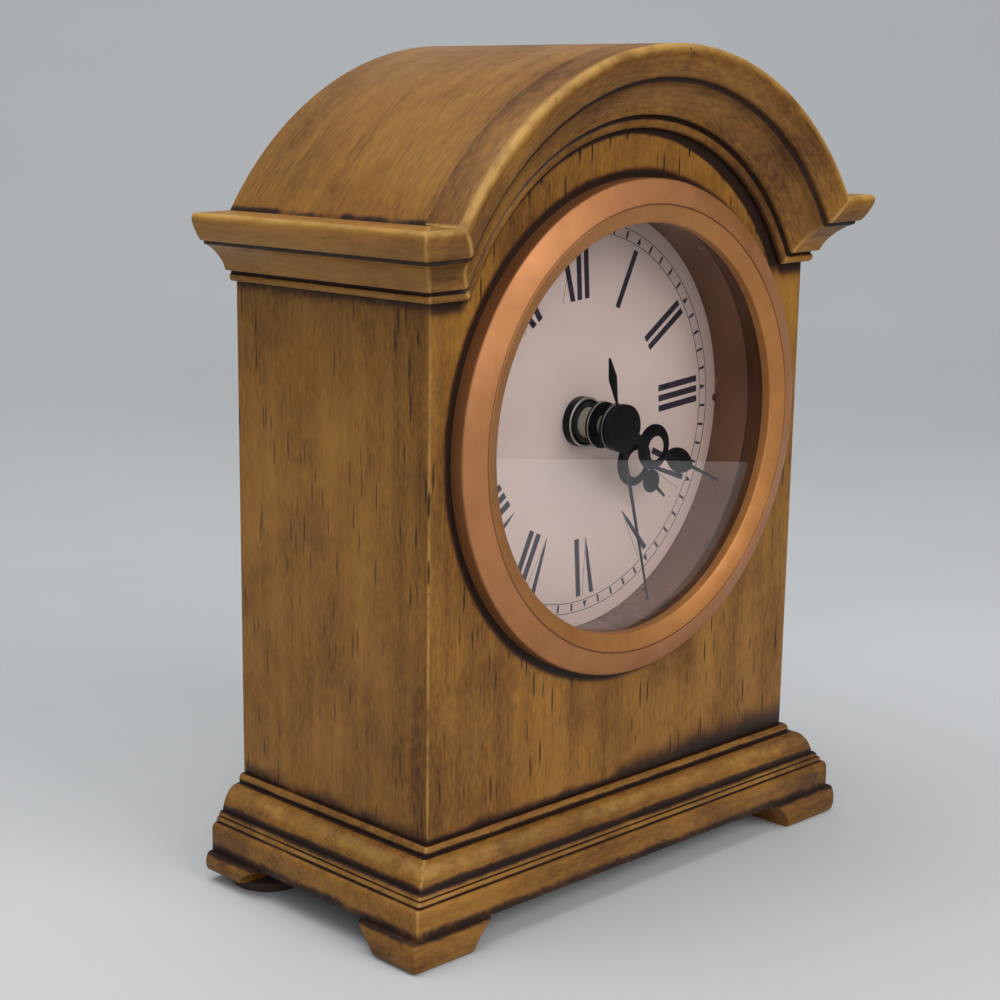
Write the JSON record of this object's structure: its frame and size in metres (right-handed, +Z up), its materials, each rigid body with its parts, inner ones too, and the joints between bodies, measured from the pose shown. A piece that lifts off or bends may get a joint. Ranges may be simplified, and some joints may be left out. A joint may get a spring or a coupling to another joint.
{
  "type": "shelf clock",
  "caption": "Wooden shelf clock with an arched top, moulded cornice ears, bracket feet, a copper bezel over a deep dial and a battery movement.",
  "frame": {"origin": "on the table, under the middle of the clock's bounding box", "axes": "+Z up, the dial faces -Y, +X to the right seen from the front"},
  "size_m": [0.12, 0.0598, 0.1546],
  "materials": {
    "case_wood": "worn gold-brown over dark umber glaze, satin",
    "inner_wood": "plain stained board",
    "foot_pad_rubber": "matt",
    "bezel_copper": "polished copper colour, lacquered",
    "lens_glass": "clear",
    "washer_rubber": "matt",
    "drum_finish": "gloss brown",
    "dial_metal": "satin",
    "hand_black": "satin",
    "movement_plastic": "moulded",
    "gear_plastic": "moulded",
    "motor_steel": "plain",
    "coil_copper": "enamelled wire",
    "board_plastic": "plain",
    "crystal_can": "plain",
    "cell_jacket": "gloss",
    "contact_steel": "plain"
  },
  "bodies": {
    "case": {"front_panel": "case_wood", "left_side_panel": "case_wood", "right_side_panel": "case_wood", "roof_panel": "case_wood", "left_cornice": "case_wood", "right_cornice": "case_wood", "left_ear_moulding": "case_wood", "right_ear_moulding": "case_wood", "arch_moulding": "case_wood", "base_plinth": "case_wood", "front_left_foot": "case_wood", "front_right_foot": "case_wood", "rear_left_foot": "case_wood", "rear_right_foot": "case_wood", "back_panel": "inner_wood", "glue_blocks": "inner_wood", "foot_pads": "foot_pad_rubber", "bezel_ring": "bezel_copper", "lens": "lens_glass", "shaft_washer": "washer_rubber", "dial_drum": "drum_finish", "dial_plate": "dial_metal", "shaft_nut": "hand_black", "movement_housing": "movement_plastic", "train_plate": "movement_plastic", "movement_cover": "movement_plastic", "stator": "motor_steel", "motor_coil": "coil_copper", "circuit_board": "board_plastic", "quartz_crystal": "crystal_can", "positive_contact": "contact_steel", "negative_contact": "contact_steel"},
    "minute_work": {"minute_hand": "hand_black", "cannon_pinion": "gear_plastic"},
    "hour_work": {"hour_hand": "hand_black", "hour_wheel": "gear_plastic"},
    "setting_work": {"minute_wheel": "gear_plastic", "setting_knob": "movement_plastic"},
    "centre_work": {"centre_wheel": "gear_plastic"},
    "third_work": {"third_wheel": "gear_plastic"},
    "second_work": {"second_hand": "hand_black", "seconds_wheel": "gear_plastic"},
    "intermediate_work": {"intermediate_wheel": "gear_plastic"},
    "rotor_work": {"rotor": "gear_plastic"},
    "battery": {"battery": "cell_jacket"}
  },
  "joints": [
    {"name": "minute_hand_turn", "type": "hinge", "parent": "case", "child": "minute_work", "pos_m": [0, -0.01715, 0.0865], "axis": [0, 1, 0], "continuous": true},
    {"name": "hour_hand_turn", "type": "hinge", "parent": "case", "child": "hour_work", "pos_m": [0, -0.01365, 0.0865], "axis": [0, 1, 0], "continuous": true},
    {"name": "setting_knob_turn", "type": "hinge", "parent": "case", "child": "setting_work", "pos_m": [-0.01039, 0.01135, 0.0925], "axis": [0, 1, 0], "continuous": true},
    {"name": "second_hand_turn", "type": "hinge", "parent": "case", "child": "second_work", "pos_m": [0, -0.01865, 0.0865], "axis": [0, 1, 0], "continuous": true},
    {"name": "centre_wheel_turn", "type": "hinge", "parent": "case", "child": "centre_work", "pos_m": [0, -0.00065, 0.0865], "axis": [0, 1, 0], "continuous": true},
    {"name": "third_wheel_turn", "type": "hinge", "parent": "case", "child": "third_work", "pos_m": [0.0051, 0.00135, 0.09533], "axis": [0, 1, 0], "continuous": true},
    {"name": "intermediate_wheel_turn", "type": "hinge", "parent": "case", "child": "intermediate_work", "pos_m": [0.00689, 0.00335, 0.08528], "axis": [0, 1, 0], "continuous": true},
    {"name": "rotor_turn", "type": "hinge", "parent": "case", "child": "rotor_work", "pos_m": [0.01389, 0.00535, 0.08528], "axis": [0, 1, 0], "continuous": true},
    {"name": "battery_slide", "type": "slide", "parent": "case", "child": "battery", "axis": [0, 1, 0], "range_m": [0, 0.04]}
  ],
  "couplings": [
    {"joint": "hour_hand_turn", "follows": "minute_hand_turn", "ratio": 0.083333},
    {"joint": "setting_knob_turn", "follows": "minute_hand_turn", "ratio": -0.33333},
    {"joint": "centre_wheel_turn", "follows": "second_hand_turn", "ratio": 0.016667},
    {"joint": "third_wheel_turn", "follows": "second_hand_turn", "ratio": -0.13333},
    {"joint": "intermediate_wheel_turn", "follows": "second_hand_turn", "ratio": -5},
    {"joint": "rotor_turn", "follows": "second_hand_turn", "ratio": 30}
  ]
}
